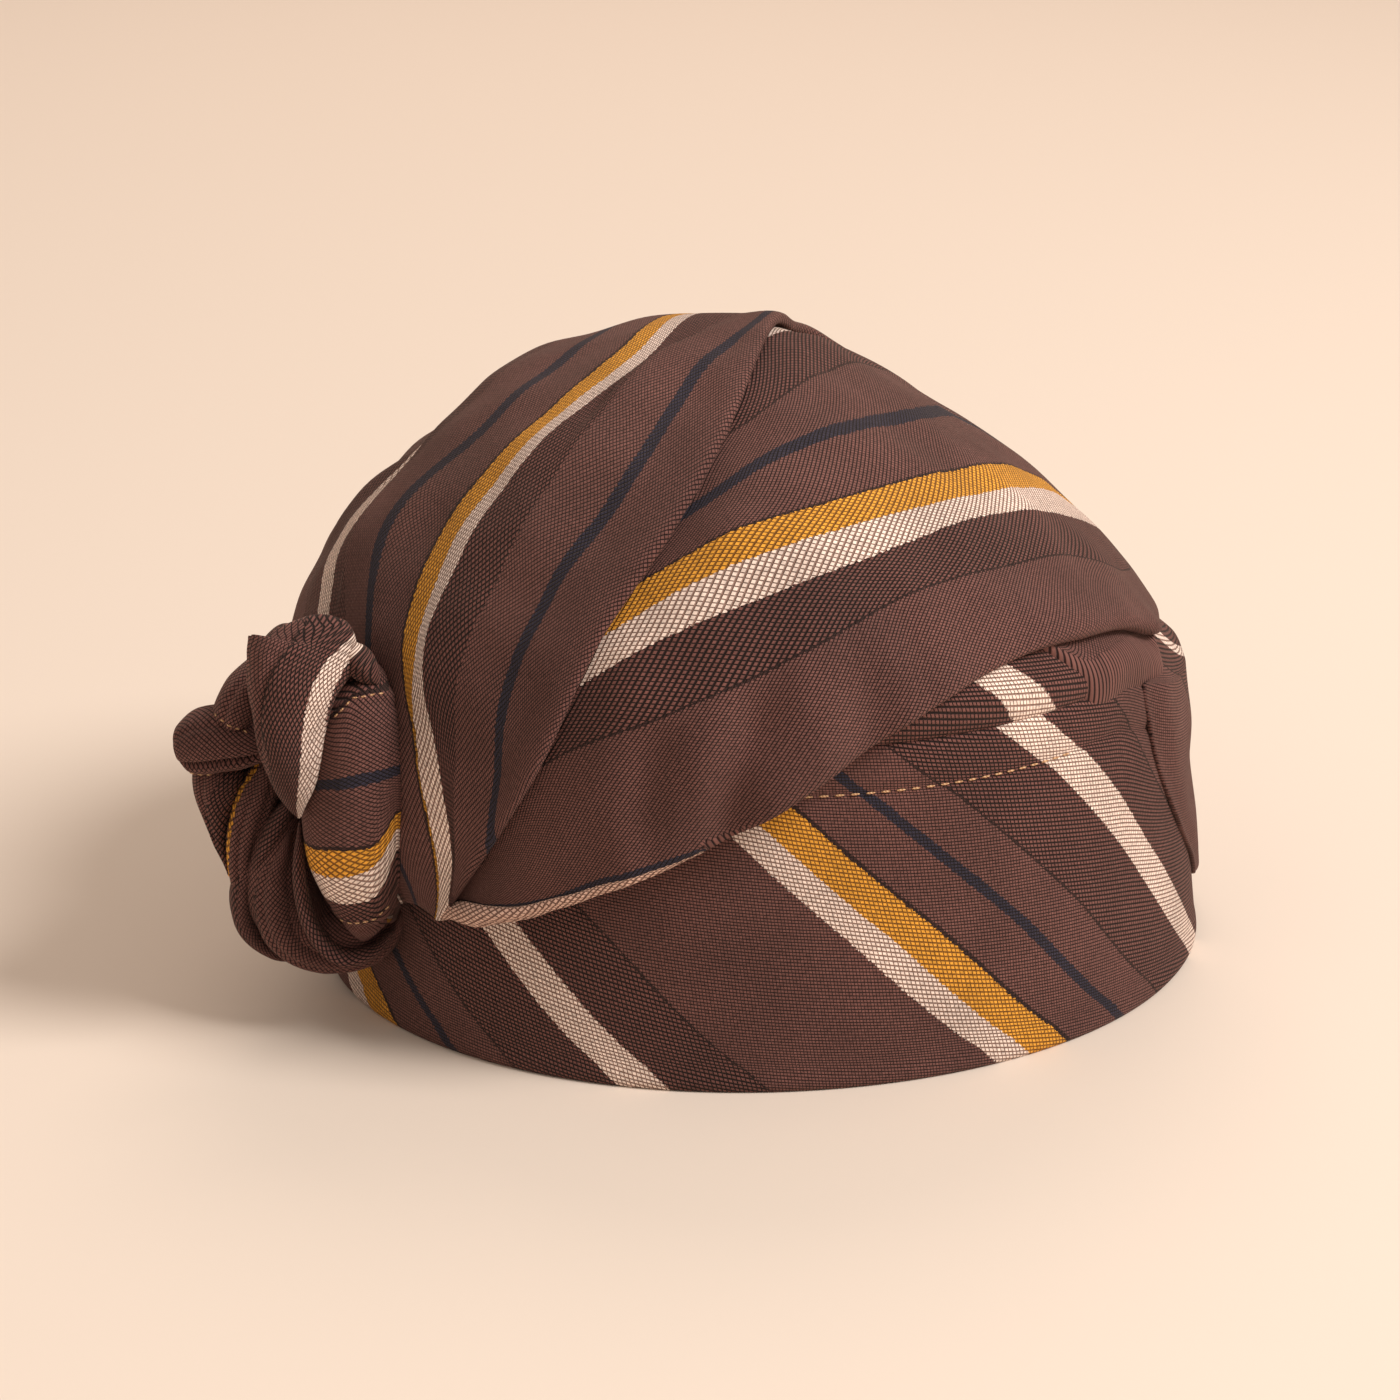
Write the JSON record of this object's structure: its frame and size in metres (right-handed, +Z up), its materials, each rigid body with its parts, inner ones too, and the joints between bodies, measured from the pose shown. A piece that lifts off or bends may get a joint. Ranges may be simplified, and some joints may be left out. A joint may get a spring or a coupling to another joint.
{
  "type": "wrapped turban hat",
  "caption": "Ready-wrapped turban hat of striped brown cloth: an upright band, crossing wraps over a crown and a knotted roll at the front, open below for the head.",
  "frame": {"origin": "bottom centre of the hat's box, on the surface that the band's rim rests on", "axes": "+Z up, the knotted front at -Y, the wearer's left at +X, the nape at +Y"},
  "size_m": [0.1824, 0.2314, 0.1379],
  "materials": {
    "striped_cloth": "matt woven wool and cotton, brown ground with twill, navy, white and yellow stripes",
    "inner_cloth": "matt plain lining cloth, dark brown",
    "seam_thread": "matt tan sewing thread"
  },
  "bodies": {
    "root": {"band": "striped_cloth", "crown": "inner_cloth", "left_wrap": "striped_cloth", "right_wrap": "striped_cloth", "nape_tuck": "striped_cloth", "knot_front_roll": "striped_cloth", "knot_twist": "striped_cloth", "knot_hem_fold": "striped_cloth", "knot_tail": "striped_cloth", "knot_under_wrap": "striped_cloth", "knot_far_roll": "striped_cloth"}
  },
  "joints": []
}
